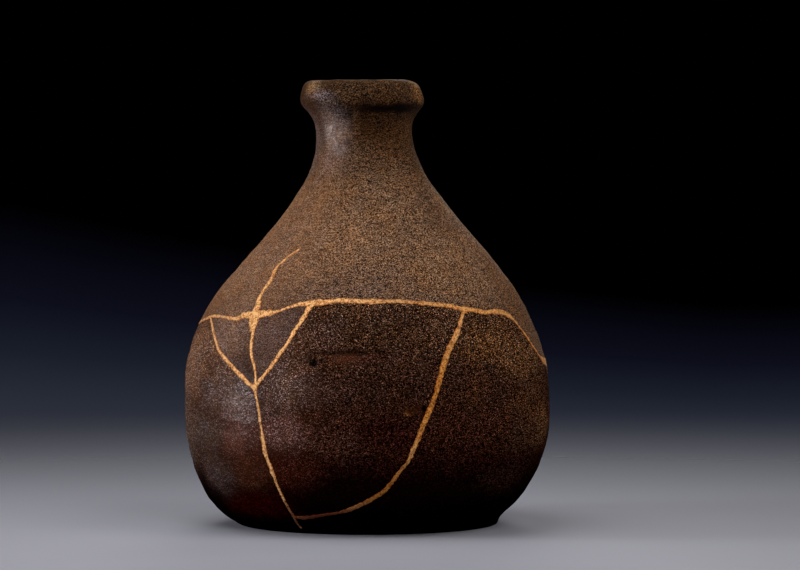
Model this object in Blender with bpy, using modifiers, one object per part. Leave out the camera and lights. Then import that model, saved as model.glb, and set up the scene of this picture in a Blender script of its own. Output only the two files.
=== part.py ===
"""Kintsugi vase: a thrown stoneware bottle, broken into five sherds and mended with gold.

The vase is turned as one hollow body. Thin joints cut it into its sherds, and a groove along each
joint holds the raised gold seam. Metres, +Z up. The origin is the middle of the foot, and the front
of the vase looks towards -Y. Azimuth is in degrees from the front, positive towards +X.
"""

import math

import bmesh
import bpy
import numpy as np
from mathutils import Vector

OBJECT_NAME = "kintsugi_vase"
MM = 0.001

# ---- The thrown body, in millimetres ----
SEGMENTS = 48
WALL_THICKNESS = 5.5
BASE_THICKNESS = 8.0
# Rows of facets follow each other by a length of wall and by a turn of its profile, in degrees
OUTER_ROW_STEP = (36.0, 11.5)
INNER_ROW_STEP = (60.0, 16.0)
# The floor inside as (radius, height), and the heights of the outer wall that the inner wall follows
FLOOR_OUTLINE = ((0.0, BASE_THICKNESS), (46.0, BASE_THICKNESS), (55.0, BASE_THICKNESS + 1.4))
INNER_WALL_HEIGHTS = (11.0, 176.0)

# (height, radius) up the outside, from the foot to the tuck under the lip
WALL_PROFILE = (
    (0.0, 58.3),
    (4.0, 62.5),
    (10.0, 68.6),
    (20.0, 75.1),
    (35.0, 80.5),
    (57.0, 82.4),
    (75.0, 80.6),
    (90.0, 75.4),
    (105.0, 67.2),
    (120.0, 55.5),
    (135.0, 42.6),
    (148.0, 32.7),
    (158.0, 26.4),
    (168.0, 22.8),
    (177.0, 21.6),
    (181.0, 22.1),
    (183.8, 23.4),
    (186.2, 25.1),
)

# (radius, height) round the thick lip, from the mouth over the crown to its lower edge outside
LIP_OUTLINE = (
    (16.5, 190.5),
    (16.9, 196.4),
    (18.6, 199.3),
    (21.4, 200.0),
    (24.2, 199.4),
    (26.1, 197.9),
    (27.3, 195.2),
    (27.9, 191.8),
    (27.6, 189.3),
    (26.4, 187.5),
)

# (height, shift of the centre line towards +X): the bottle was thrown slightly off its axis
LEAN_PROFILE = (
    (0.0, 1.1),
    (3.0, -0.8),
    (10.0, -0.9),
    (20.0, -0.1),
    (40.0, 0.7),
    (75.0, 0.1),
    (95.0, 0.0),
    (110.0, 0.8),
    (125.0, 1.6),
    (145.0, 1.2),
    (165.0, 0.0),
    (174.0, -0.7),
    (184.0, -1.2),
    (200.0, -2.4),
)

# ---- The gold seams and the joints, in millimetres ----
SEAM_STATION_SPACING = 9.5
# The bead of gold stands out from the wall and is let into it
SEAM_PROUD = 0.45
SEAM_DEPTH = 0.5
# Touching pieces keep this gap
CLEARANCE = 0.3
JOINT_WIDTH = 0.3
# The cuts start outside the wall, and a joint ends inside the vase
GROOVE_OUTSIDE = 1.2
JOINT_OUTSIDE = 1.5
JOINT_INSIDE = 9.5

# ---- The courses of the seams: (azimuth, height, width), degrees and millimetres ----

STAR = (-42.5, 96.5, 3.6)
LEFT_FORK = (-70.0, 94.5, 1.4)
DIAGONAL_FORK = (-20.5, 101.5, 3.0)
RIGHT_FORK = (37.0, 99.0, 2.3)
BACK_FORK = (80.0, 74.0, 3.0)
FRONT_KNOT = (-36.5, 65.0, 1.6)
FOOT_KNOT = (-27.5, 8.0, 1.2)

RING_SEAM = (
    (-85.0, 91.0, 1.1),
    LEFT_FORK,
    (-62.0, 95.0, 1.2),
    (-52.0, 94.5, 1.8),
    (-47.0, 96.0, 2.3),
    STAR,
    (-36.0, 97.0, 2.4),
    (-31.0, 99.0, 1.1),
    (-26.0, 101.0, 1.5),
    DIAGONAL_FORK,
    (-10.5, 103.0, 2.2),
    (2.5, 103.0, 2.4),
    (12.0, 103.0, 1.6),
    (24.0, 101.5, 1.7),
    RIGHT_FORK,
    (46.0, 97.5, 2.0),
    (54.0, 97.0, 2.2),
    (60.5, 95.0, 2.3),
    (63.5, 91.5, 0.9),
    (69.0, 82.5, 1.1),
    BACK_FORK,
    (90.0, 74.0, 1.2),
    (103.0, 77.0, 1.0),
    (116.0, 77.0, 1.2),
    (128.0, 83.0, 1.5),
    (140.0, 88.5, 1.2),
    (154.0, 88.5, 1.8),
    (168.0, 85.5, 1.1),
    (182.0, 84.0, 1.0),
    (196.0, 86.5, 1.4),
    (209.0, 91.5, 1.6),
    (222.0, 91.0, 1.1),
    (236.0, 87.5, 1.0),
    (251.0, 87.5, 1.3),
)

LEFT_SEAM = (
    LEFT_FORK,
    (-62.0, 88.0, 1.3),
    (-56.0, 81.5, 1.7),
    (-50.0, 76.5, 1.6),
    (-43.5, 71.0, 2.0),
    FRONT_KNOT,
)

CENTRE_SEAM = (
    STAR,
    (-41.0, 91.0, 1.9),
    (-40.0, 85.0, 1.5),
    (-39.0, 79.5, 1.3),
    (-36.5, 71.0, 0.9),
    FRONT_KNOT,
    (-35.0, 57.0, 0.9),
    (-34.0, 47.0, 1.1),
    (-33.5, 41.0, 1.9),
    (-32.5, 33.5, 1.7),
    (-31.0, 24.5, 1.5),
    (-28.5, 14.0, 0.9),
    FOOT_KNOT,
    (-27.0, 3.0, 0.9),
)

DIAGONAL_SEAM = (
    DIAGONAL_FORK,
    (-22.0, 95.0, 1.9),
    (-24.5, 89.0, 1.7),
    (-28.5, 79.5, 1.7),
    (-33.0, 71.0, 1.4),
    FRONT_KNOT,
)

RIGHT_SEAM = (
    RIGHT_FORK,
    (34.5, 94.0, 1.6),
    (28.5, 84.0, 2.5),
    (24.5, 75.0, 2.4),
    (21.5, 63.5, 2.0),
    (18.0, 53.0, 2.1),
    (14.0, 39.0, 2.0),
    (11.5, 31.5, 1.5),
    (8.5, 25.0, 1.8),
    (4.5, 19.0, 1.9),
    (-1.0, 14.5, 1.8),
    (-9.0, 11.0, 1.5),
    (-19.5, 8.5, 1.9),
    FOOT_KNOT,
)

SHOULDER_CRACK = (
    STAR,
    (-43.5, 100.5, 2.3),
    (-44.0, 106.0, 1.7),
    (-43.0, 112.0, 1.9),
    (-44.5, 116.5, 1.5),
    (-38.0, 124.5, 0.9),
)

BACK_CRACK = (
    BACK_FORK,
    (89.0, 70.0, 1.2),
    (99.0, 60.0, 1.1),
    (109.0, 48.0, 1.0),
    (121.0, 29.0, 0.9),
)

# Name, course, the stretch of it that parts two sherds, and the size of its section.
# The ring closes on itself. The others start at a knot, under the surface of the bead they meet.
RING = "ring"
SEAMS = (
    (RING, RING_SEAM, RING_SEAM, 1.0),
    ("centre", CENTRE_SEAM, CENTRE_SEAM[:-1], 0.94),
    ("left", LEFT_SEAM, LEFT_SEAM, 0.88),
    ("diagonal", DIAGONAL_SEAM, DIAGONAL_SEAM, 0.88),
    ("right", RIGHT_SEAM, RIGHT_SEAM, 0.88),
    ("shoulder_crack", SHOULDER_CRACK, None, 0.88),
    ("back_crack", BACK_CRACK, None, 0.88),
)
KNOTS = (STAR, LEFT_FORK, DIAGONAL_FORK, RIGHT_FORK, BACK_FORK, FRONT_KNOT, FOOT_KNOT)

# ---- The sherds: a place on each, as (azimuth, height), and its colour ----
SHERDS = {
    "neck_and_shoulder": ((0.0, 140.0), (0.120, 0.062, 0.032)),
    "lower_body": ((60.0, 40.0), (0.072, 0.032, 0.018)),
    "left_sherd": ((-56.0, 88.0), (0.105, 0.060, 0.036)),
    "middle_sherd": ((-32.0, 88.0), (0.095, 0.048, 0.028)),
    "front_sherd": ((0.0, 60.0), (0.042, 0.016, 0.010)),
}
STONEWARE_ROUGHNESS = 0.55
GOLD_COLOUR = (0.80, 0.42, 0.13)
GOLD_ROUGHNESS = 0.38
SHARP_ANGLE = 35.0


# ---- How finely the curves are read ----
SLOPE_STEP = 0.2
PROFILE_SAMPLES = 400
MERGE_DISTANCE = 0.05 * MM


# ---- Curves ----
def smooth_value(points, at):
    """Read a smooth curve through (place, value) points at the given place or places."""
    places, values = np.array(points).T
    slopes = np.gradient(values, places)
    index = np.clip(np.searchsorted(places, at) - 1, 0, len(places) - 2)
    span = places[index + 1] - places[index]
    t = (at - places[index]) / span
    start = (1 + 2 * t) * (1 - t) ** 2 * values[index] + t * (1 - t) ** 2 * span * slopes[index]
    end = t * t * (3 - 2 * t) * values[index + 1] - t * t * (1 - t) * span * slopes[index + 1]
    return start + end


def wall_radius(height):
    """Outer radius of the wall at a height between the foot and the lip."""
    return smooth_value(WALL_PROFILE, height)


def lean(height):
    """Shift of the centre line towards +X."""
    return smooth_value(LEAN_PROFILE, height)


def wall_normal(height):
    """Outward normal of the wall's profile, as (radial, upward) parts."""
    rise = wall_radius(height + SLOPE_STEP) - wall_radius(height - SLOPE_STEP)
    length = math.hypot(rise, 2 * SLOPE_STEP)
    return 2 * SLOPE_STEP / length, -rise / length


def on_wall(azimuth, height, proud=0.0):
    """Point in millimetres at a place on the wall, moved out along the wall's normal."""
    radial, upward = wall_normal(height)
    radius = wall_radius(height) + proud * radial
    angle = math.radians(azimuth)
    z = height + proud * upward
    return Vector((radius * math.sin(angle) + lean(z), -radius * math.cos(angle), z))


def heights_along_wall(lowest, highest, row_step):
    """Heights of the rows of facets, closer together where the wall bends more."""
    length_step, turn_step = row_step
    fine = np.linspace(lowest, highest, PROFILE_SAMPLES)
    radii = wall_radius(fine)
    lengths = np.hypot(np.diff(fine), np.diff(radii))
    slopes = np.degrees(np.arctan2(np.gradient(radii), np.gradient(fine)))
    progress = np.cumsum(lengths / length_step + np.abs(np.diff(slopes)) / turn_step)
    progress = np.concatenate(([0.0], progress))
    count = math.ceil(progress[-1])
    return np.interp(np.linspace(0.0, progress[-1], count + 1), progress, fine)


# ---- The turned body ----
def inner_outline():
    """The inside as (radius, height), from the middle of the floor up to the neck."""
    outline = list(FLOOR_OUTLINE)
    for height in heights_along_wall(*INNER_WALL_HEIGHTS, INNER_ROW_STEP):
        radial, upward = wall_normal(height)
        radius = wall_radius(height) - WALL_THICKNESS * radial
        outline.append((radius, height - WALL_THICKNESS * upward))
    return outline


def outer_outline():
    """The outside as (radius, height), from under the lip down to the middle of the foot."""
    highest = WALL_PROFILE[-1][0]
    outline = []
    for height in heights_along_wall(0.0, highest, OUTER_ROW_STEP)[::-1]:
        outline.append((float(wall_radius(height)), height))
    return outline + [(0.0, 0.0)]


def make_object(name, mesh, collection):
    """Link a new object to a collection."""
    made = bpy.data.objects.new(name, mesh)
    collection.objects.link(made)
    return made


def baked_mesh(source):
    """The object's mesh with its modifiers applied."""
    depsgraph = bpy.context.evaluated_depsgraph_get()
    return bpy.data.meshes.new_from_object(source.evaluated_get(depsgraph))


def make_thrown_body(collection):
    """Turn the hollow bottle in one piece and let its centre line wander."""
    outline = inner_outline() + list(LIP_OUTLINE) + outer_outline()
    profile = bpy.data.meshes.new("bottle_profile")
    points = [(radius * MM, 0.0, height * MM) for radius, height in outline]
    profile.from_pydata(points, [(i, i + 1) for i in range(len(points) - 1)], [])
    bottle = make_object("thrown_bottle", profile, collection)
    screw = bottle.modifiers.new("turn", "SCREW")
    screw.steps = SEGMENTS
    screw.render_steps = SEGMENTS
    screw.use_merge_vertices = True
    screw.merge_threshold = MERGE_DISTANCE
    bottle.data = baked_mesh(bottle)
    bottle.modifiers.clear()
    for vertex in bottle.data.vertices:
        vertex.co.x += lean(vertex.co.z / MM) * MM
    return bottle


# ---- Seams ----
def catmull_rom(before, start, end, after, t):
    """Point on the smooth curve from start to end, at t from 0 to 1."""
    pull = (end - before) * t + (2 * before - 5 * start + 4 * end - after) * t * t
    twist = (3 * start - before - 3 * end + after) * t**3
    return start + (pull + twist) / 2


def seam_stations(seam, closed):
    """Places along a smooth seam, as rows of azimuth, height and width."""
    points = np.array(seam)
    if closed:
        ahead = points + (360.0, 0.0, 0.0)
        points = np.vstack((points[-1] - (360.0, 0.0, 0.0), points, ahead[0], ahead[1]))
    else:
        points = np.vstack((2 * points[0] - points[1], points, 2 * points[-1] - points[-2]))
    stations = []
    for k in range(1, len(points) - 2):
        span = (on_wall(*points[k + 1][:2]) - on_wall(*points[k][:2])).length
        count = math.ceil(span / SEAM_STATION_SPACING)
        for t in np.arange(count) / count:
            stations.append(catmull_rom(*points[k - 1 : k + 3], t))
    if not closed:
        stations.append(points[-2])
    return stations


def seam_frames(seam, closed):
    """Centre, sideways, outward and forward directions, and width at each station of a seam."""
    stations = seam_stations(seam, closed)
    centres = [on_wall(*station[:2]) for station in stations]
    last = len(stations) - 1
    frames = []
    for k, (azimuth, height, width) in enumerate(stations):
        behind = centres[k - 1] if closed or k > 0 else centres[k]
        beyond = centres[(k + 1) % len(centres)] if closed or k < last else centres[k]
        forward = (beyond - behind).normalized()
        outward = (on_wall(azimuth, height, 1.0) - centres[k]).normalized()
        sideways = outward.cross(forward).normalized()
        frames.append((centres[k], sideways, outward, forward, width))
    return frames


def sweep(name, frames, section, closed, collection, lengthen=0.0):
    """Loft a section, which depends on the seam's width, along the frames of a seam.

    An open seam reaches further by `lengthen` at its far end, where the crack ends in the wall.
    """
    mesh = bpy.data.meshes.new(name)
    work = bmesh.new()
    rings = []
    for k, (centre, sideways, outward, forward, width) in enumerate(frames):
        if lengthen and k == len(frames) - 1:
            centre = centre + forward * lengthen
        ring = [work.verts.new((centre + sideways * s + outward * o) * MM) for s, o in section(width)]
        rings.append(ring)
    pairs = list(zip(rings, rings[1:]))
    if closed:
        pairs.append((rings[-1], rings[0]))
    else:
        work.faces.new(rings[0][::-1])
        work.faces.new(rings[-1])
    for ring, following in pairs:
        for i in range(len(ring)):
            j = (i + 1) % len(ring)
            work.faces.new((ring[i], ring[j], following[j], following[i]))
    bmesh.ops.recalc_face_normals(work, faces=work.faces)
    work.to_mesh(mesh)
    work.free()
    return make_object(name, mesh, collection)


def bead_section(scale):
    """Lens-shaped section of a gold seam: proud of the wall above, let into it below."""

    def section(width):
        edge = width / 2
        inner = width / 4
        return (
            (edge, 0.0),
            (inner, SEAM_PROUD * scale),
            (-inner, SEAM_PROUD * scale),
            (-edge, 0.0),
            (-inner, -SEAM_DEPTH * scale),
            (inner, -SEAM_DEPTH * scale),
        )

    return section


def groove_section(scale):
    """Groove that clears the bead on both sides and below."""

    def section(width):
        edge = width / 2 + CLEARANCE
        inner = width / 4 + CLEARANCE
        floor = -SEAM_DEPTH * scale - CLEARANCE
        return (
            (edge, GROOVE_OUTSIDE),
            (-edge, GROOVE_OUTSIDE),
            (-edge, 0.0),
            (-inner, floor),
            (inner, floor),
            (edge, 0.0),
        )

    return section


def joint_section(_width):
    """Thin blade through the whole wall."""
    half = JOINT_WIDTH / 2
    return (
        (half, JOINT_OUTSIDE),
        (-half, JOINT_OUTSIDE),
        (-half, -JOINT_INSIDE),
        (half, -JOINT_INSIDE),
    )


def make_cutter_collection(name):
    """Collection of guide shapes that are drawn as wires and never rendered."""
    collection = bpy.data.collections.new(name)
    bpy.context.scene.collection.children.link(collection)
    return collection


def hide_guides(collection):
    """Show a collection's objects as wires only."""
    for guide in collection.objects:
        guide.hide_render = True
        guide.display_type = "WIRE"


def add_boolean(target, operation, collection):
    """Join or cut with every object of a collection at once."""
    modifier = target.modifiers.new(collection.name, "BOOLEAN")
    modifier.operation = operation
    modifier.operand_type = "COLLECTION"
    modifier.collection = collection
    modifier.solver = "EXACT"


def make_gold_seams(beads, collection):
    """Join the seams' beads into one gold network, which starts as the ring."""
    for name, course, _parting, scale in SEAMS:
        closed = name == RING
        target = collection if closed else beads
        node = "gold_seams" if closed else name + "_bead"
        bead = sweep(node, seam_frames(course, closed), bead_section(scale), closed, target)
        if closed:
            gold = bead
    gold.data.materials.append(make_material("gold", GOLD_COLOUR, GOLD_ROUGHNESS, 1.0))
    gold.data.shade_smooth()
    gold.data.set_sharp_from_angle(angle=math.radians(SHARP_ANGLE))
    add_boolean(gold, "UNION", beads)


def cut_seams(bottle, grooves, joints):
    """Cut the grooves for the gold, and the joints that part the sherds."""
    for name, course, parting, scale in SEAMS:
        closed = name == RING
        lengthen = 0.0 if closed or course[-1] in KNOTS else CLEARANCE
        frames = seam_frames(course, closed)
        sweep(name + "_groove", frames, groove_section(scale), closed, grooves, lengthen)
        if parting:
            sweep(name + "_joint", seam_frames(parting, closed), joint_section, closed, joints)
    add_boolean(bottle, "DIFFERENCE", grooves)
    add_boolean(bottle, "DIFFERENCE", joints)


# ---- Sherds ----
def make_material(name, colour, roughness, metallic):
    """Principled material with plain values."""
    material = bpy.data.materials.new(name)
    material.use_nodes = True
    shader = material.node_tree.nodes["Principled BSDF"]
    shader.inputs["Base Color"].default_value = (*colour, 1.0)
    shader.inputs["Roughness"].default_value = roughness
    shader.inputs["Metallic"].default_value = metallic
    return material


def loose_pieces(mesh):
    """Split a mesh into one bmesh for each connected piece."""
    whole = bmesh.new()
    whole.from_mesh(mesh)
    unseen = set(whole.faces)
    groups = []
    while unseen:
        queue = [unseen.pop()]
        group = set(queue)
        while queue:
            for edge in queue.pop().edges:
                fresh = [face for face in edge.link_faces if face in unseen]
                unseen.difference_update(fresh)
                group.update(fresh)
                queue.extend(fresh)
        groups.append({face.index for face in group})
    whole.free()
    pieces = []
    for group in groups:
        piece = bmesh.new()
        piece.from_mesh(mesh)
        piece.faces.ensure_lookup_table()
        others = [face for face in piece.faces if face.index not in group]
        bmesh.ops.delete(piece, geom=others, context="FACES")
        pieces.append(piece)
    return pieces


def distance_to(piece, place):
    """Distance from a place on the wall to the nearest corner of a piece."""
    target = on_wall(*place) * MM
    return min((vertex.co - target).length for vertex in piece.verts)


def make_sherds(bottle, collection):
    """Give each piece of the cut bottle its name, material and shading."""
    pieces = loose_pieces(baked_mesh(bottle))
    for name, (place, colour) in SHERDS.items():
        piece = min(pieces, key=lambda candidate: distance_to(candidate, place))
        pieces.remove(piece)
        mesh = bpy.data.meshes.new(name)
        piece.to_mesh(mesh)
        piece.free()
        sherd = make_object(name, mesh, collection)
        sherd.data.materials.clear()
        sherd.data.materials.append(make_material(name, colour, STONEWARE_ROUGHNESS, 0.0))
        sherd.data.shade_smooth()
        sherd.data.set_sharp_from_angle(angle=math.radians(SHARP_ANGLE))
    if pieces:
        raise RuntimeError(f"{len(pieces)} pieces of the cut bottle have no name")


def main():
    """Build the vase from an empty scene."""
    for old in list(bpy.data.objects):
        bpy.data.objects.remove(old, do_unlink=True)
    vase = bpy.data.collections.new(OBJECT_NAME)
    bpy.context.scene.collection.children.link(vase)
    turning = make_cutter_collection("turning")
    beads = make_cutter_collection("seam_beads")
    grooves = make_cutter_collection("seam_grooves")
    joints = make_cutter_collection("sherd_joints")
    bottle = make_thrown_body(turning)
    cut_seams(bottle, grooves, joints)
    make_sherds(bottle, vase)
    make_gold_seams(beads, vase)
    for guides in (turning, beads, grooves, joints):
        hide_guides(guides)


main()
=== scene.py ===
"""The looks of the kintsugi vase: its sherds, gold, materials, floor, light and camera.

Lengths in the making are millimetres; azimuth is in degrees from the front, positive towards +X.
The whole surface of the vase is unrolled onto one plane that keeps angles, cut there along the
seams into triangles, and rolled back up as closed sherds. The gold network is made on the same
plane from the distance to the seams.
"""

import itertools
import math

import bpy
import numpy as np
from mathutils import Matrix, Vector
from mathutils.geometry import delaunay_2d_cdt
from mathutils.kdtree import KDTree


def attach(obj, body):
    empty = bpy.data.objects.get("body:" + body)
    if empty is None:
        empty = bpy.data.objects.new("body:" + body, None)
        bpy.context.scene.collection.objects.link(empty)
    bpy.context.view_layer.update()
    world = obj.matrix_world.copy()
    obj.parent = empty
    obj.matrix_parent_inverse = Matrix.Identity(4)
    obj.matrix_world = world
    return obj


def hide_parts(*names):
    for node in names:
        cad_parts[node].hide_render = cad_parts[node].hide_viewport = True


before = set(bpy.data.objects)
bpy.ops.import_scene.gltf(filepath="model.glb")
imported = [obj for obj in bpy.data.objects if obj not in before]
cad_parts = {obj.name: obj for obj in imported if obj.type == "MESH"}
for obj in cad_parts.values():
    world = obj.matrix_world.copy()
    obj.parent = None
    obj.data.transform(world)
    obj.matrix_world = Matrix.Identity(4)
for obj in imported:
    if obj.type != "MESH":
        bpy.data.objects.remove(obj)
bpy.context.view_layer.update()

MM = 0.001

# ---- The thrown body: the values of the part's source ----
WALL_THICKNESS = 5.5
BASE_THICKNESS = 8.0
# (radius, height) of the floor inside, and the outer heights that the inner wall follows
FLOOR_OUTLINE = ((0.0, BASE_THICKNESS), (46.0, BASE_THICKNESS), (55.0, BASE_THICKNESS + 1.4))
INNER_WALL_HEIGHTS = (11.0, 176.0)
# (height, radius) up the outside, from the foot to the tuck under the lip
WALL_PROFILE = (
    (0, 58.3), (4, 62.5), (10, 68.6), (20, 75.1), (35, 80.5), (57, 82.4), (75, 80.6), (90, 75.4),
    (105, 67.2), (120, 55.5), (135, 42.6), (148, 32.7), (158, 26.4), (168, 22.8), (177, 21.6),
    (181, 22.1), (183.8, 23.4), (186.2, 25.1),
)
# (radius, height) round the thick lip, from the mouth over the crown to its lower edge outside
LIP_OUTLINE = (
    (16.5, 190.5), (16.9, 196.4), (18.6, 199.3), (21.4, 200), (24.2, 199.4), (26.1, 197.9),
    (27.3, 195.2), (27.9, 191.8), (27.6, 189.3), (26.4, 187.5),
)
# (height, shift of the centre line towards +X)
LEAN_PROFILE = (
    (0, 1.1), (3, -0.8), (10, -0.9), (20, -0.1), (40, 0.7), (75, 0.1), (95, 0), (110, 0.8),
    (125, 1.6), (145, 1.2), (165, 0), (174, -0.7), (184, -1.2), (200, -2.4),
)

# ---- The seams: (azimuth, height, width of the gold) ----
STAR = (-42.5, 96.5, 3.8)
LEFT_FORK = (-70.0, 94.4, 1.4)
DIAGONAL_FORK = (-20.5, 101.6, 3.1)
RIGHT_FORK = (37.0, 99.0, 2.3)
BACK_FORK = (80.0, 74.0, 3.2)
FRONT_KNOT = (-36.4, 65.0, 1.6)
FOOT_KNOT = (-27.3, 8.2, 1.2)
RING_SEAM = (
    (-85, 91.2, 1.1), (-75.6, 93.1, 1.1), LEFT_FORK, (-66, 94.9, 1.35), (-61, 94.8, 1.1),
    (-56.5, 94.6, 1.35), (-51.5, 94.4, 1.8), (-49, 95.2, 2.5), (-47, 95.9, 2.4), STAR,
    (-38.5, 96.6, 2.9), (-35.2, 97.2, 2.3), (-32.5, 98.1, 1.2), (-30, 99.2, 1.1),
    (-27, 100.6, 1.35), (-24, 101.4, 1.9), DIAGONAL_FORK, (-17.5, 102, 2.7), (-14, 102.5, 2.3),
    (-10.6, 103.1, 2.3), (-6, 103, 2.1), (-1.6, 102.8, 2.1), (2.7, 102.8, 2.5), (7.6, 102.8, 1.7),
    (12, 102.9, 1.7), (17, 102.3, 1.6), (21.6, 101.9, 1.7), (27.5, 101.1, 1.8), (31.5, 100.5, 2),
    RIGHT_FORK, (41, 98.5, 2), (45.7, 97.3, 2), (50.6, 97.3, 2), (54, 97.2, 2.3), (57.6, 96.2, 2.5),
    (60.8, 94.6, 2.3), (63.2, 91.9, 0.9), (66, 87.8, 0.8), (69, 82.7, 1.1), (72.7, 78.5, 0.8),
    (76, 75.6, 1.8), BACK_FORK, (90, 74, 1.3), (103, 77, 1), (116, 77, 1.3), (128, 83, 1.6),
    (140, 88.5, 1.2), (154, 88.5, 1.9), (168, 85.5, 1.1), (180, 84.1, 1), (196, 86.5, 1.5),
    (209, 91.5, 1.7), (222, 91, 1.1), (236, 87.5, 1), (251, 87.5, 1.4),
)
LEFT_SEAM = (
    LEFT_FORK, (-68.4, 92.9, 0.9), (-65.5, 91, 1.1), (-62.2, 88, 1.3), (-58.4, 84.3, 1.35),
    (-54.6, 80.1, 1.8), (-51, 77.3, 1.6), (-47.4, 74.4, 1.6), (-43.6, 71.1, 2), (-40.8, 68.7, 1.8),
    (-38.6, 66.6, 1.35), FRONT_KNOT,
)
CENTRE_SEAM = (
    STAR, (-41.3, 92.9, 2.7), (-40.7, 90.3, 1.6), (-40.4, 87.7, 1.45), (-40.1, 85.2, 1.5),
    (-39.6, 82.2, 1.45), (-39.1, 79.6, 1.35), (-38.2, 77, 1.1), (-37.2, 74.5, 1.1),
    (-36.6, 71.9, 0.95), (-36.2, 68.9, 0.95), FRONT_KNOT, (-36.1, 62.9, 1), (-35.2, 57.4, 0.95),
    (-34.7, 51.9, 0.95), (-34.1, 46.4, 1.1), (-33.7, 41.9, 1.8), (-33.4, 37.5, 2),
    (-32.8, 34.1, 1.6), (-31.8, 29.6, 1.8), (-30.9, 24.5, 1.35), (-30, 19.9, 1.1), (-29, 15.9, 0.9),
    (-28, 11.8, 0.9), FOOT_KNOT, (-27.1, 6.1, 0.6), (-27.1, 2.9, 0.5),
)
DIAGONAL_SEAM = (
    DIAGONAL_FORK, (-21.1, 98.5, 2.1), (-22.2, 94.7, 1.8), (-23.4, 91.7, 1.6), (-24.5, 89.1, 1.8),
    (-25.5, 85.6, 1.2), (-26.8, 82.6, 1.35), (-28.3, 79.6, 1.8), (-30, 76.1, 1.6),
    (-31.8, 72.6, 1.35), (-33.8, 69.5, 1.35), (-35.5, 66.8, 1.6), FRONT_KNOT,
)
RIGHT_SEAM = (
    RIGHT_FORK, (36.2, 97.2, 1.4), (34.3, 93.8, 1.6), (31.2, 88.3, 2.3), (28.6, 84.1, 2.5),
    (26.3, 79.9, 2.3), (24.6, 75.1, 2.5), (22.7, 69, 2.3), (21.4, 63.5, 2), (19.9, 58.6, 2),
    (18.3, 53.7, 2.3), (16.9, 49.4, 2), (15.4, 43.8, 2), (14, 38.9, 2), (12.7, 33.9, 1.6),
    (10.7, 30.1, 1.35), (8.3, 25.1, 1.8), (5.8, 20.6, 2), (2.6, 17.6, 1.8), (-1.2, 14.7, 1.8),
    (-5.2, 12.3, 2), (-9.9, 10.6, 1.2), (-15, 9.5, 1.2), (-19.3, 8.4, 2), (-23.7, 7.9, 1.8),
    FOOT_KNOT,
)
SHOULDER_CRACK = (
    STAR, (-43, 98.6, 2.8), (-43.4, 100.6, 2.3), (-43.9, 103.6, 1.8), (-43.7, 106.6, 1.6),
    (-43.3, 109.2, 1.9), (-43.3, 112.3, 1.8), (-44.5, 115.7, 1.6), (-44.1, 117.9, 1.35),
    (-42.5, 120.3, 1.1), (-40.6, 122.5, 1), (-37.8, 124.7, 0.8),
)
BACK_CRACK = (
    BACK_FORK, (89, 70, 1.3), (99, 60, 1.1), (109, 48, 1), (121, 29, 0.8),
)
# Name, course, and how many of its places part two sherds: the others are repaired cracks
RING = "ring"
SEAMS = {
    RING: (RING_SEAM, len(RING_SEAM)),
    "centre": (CENTRE_SEAM, CENTRE_SEAM.index(FOOT_KNOT) + 1),
    "left": (LEFT_SEAM, len(LEFT_SEAM)),
    "diagonal": (DIAGONAL_SEAM, len(DIAGONAL_SEAM)),
    "right": (RIGHT_SEAM, len(RIGHT_SEAM)),
    "shoulder_crack": (SHOULDER_CRACK, 0),
    "back_crack": (BACK_CRACK, 0),
}
# Each sherd's CAD node, its material slot, and a place on it as (azimuth, height)
SHERDS = {
    "neck_and_shoulder": ("stoneware", (0, 140)),
    "lower_body": ("dark_stoneware", (60, 40)),
    "left_sherd": ("stoneware", (-56, 88)),
    "middle_sherd": ("stoneware", (-32, 88)),
    "front_sherd": ("dark_stoneware", (0, 60)),
}

# ---- The unrolled plane and its triangles ----
UNROLL_RADIUS = 82.6
HALF_TURN = math.pi * UNROLL_RADIUS
WALL_STEPS = 1500
OUTLINE_STEP = 0.05
LIP_STEPS = np.arange(0.0, 1.0, 0.05)
EDGE_ROUNDING = 0.7
# the surface is closed by a fan inside this radius
POLE_RADIUS = 2.2
# points lie close on the outside, and wider by this share of their distance from it
FINE_SPACING = 0.75
COARSE_SPACING = 4.0
SPACING_GROWTH = 0.22
FINE_PAST_FOOT = 3.0
FINE_INSIDE_FROM = 168.0
FEWEST_IN_ROW = 24
SEAM_SPACING = 0.7
# no other point is nearer to a joint than this share of the spacing
SEAM_CLEARANCE = 0.45
JOINT_GAP = 0.15
# (height of a joint outside, height where it comes out inside)
INNER_HEIGHT = ((0.0, 12.5), (8.0, 14.0), (30.0, 31.0), (60.0, 60.0), (110.0, 106.5))
SAME_PLACE = 1e-6
MERGE_DISTANCE = 1e-7

# ---- The gold ----
GOLD_CELL = 0.27
# lowest and highest height of the grid, how far from a seam it is measured, and its value beyond
GOLD_HEIGHTS = (1.2, 130.0)
GOLD_REACH = 3.2
NO_GOLD = -9.0
# relief is worked out for nodes that are at most this far outside the gold
GOLD_NEAR = -1.5
# the field is kept off 0, and an edge is crossed well between its ends
LEAST_FIELD = 0.004
CROSSINGS = (0.06, 0.94)
GOLD_PROUD = 0.25
GOLD_SUNK = 0.3
GOLD_EDGE_LIFT = 0.05
GOLD_SPILL = 0.1
# thin seams, half as wide as this, spill a little more
GOLD_THIN = 0.55
# noises of its rims and of its surface: strength, size of the lumps and seed of each
GOLD_RAGGED = ((0.24, 1.5, 21), (0.32, 0.8, 22), (0.1, 4, 23))
GOLD_GRAIN = ((0.07, 0.75, 24), (0.05, 1.6, 25))
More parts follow.
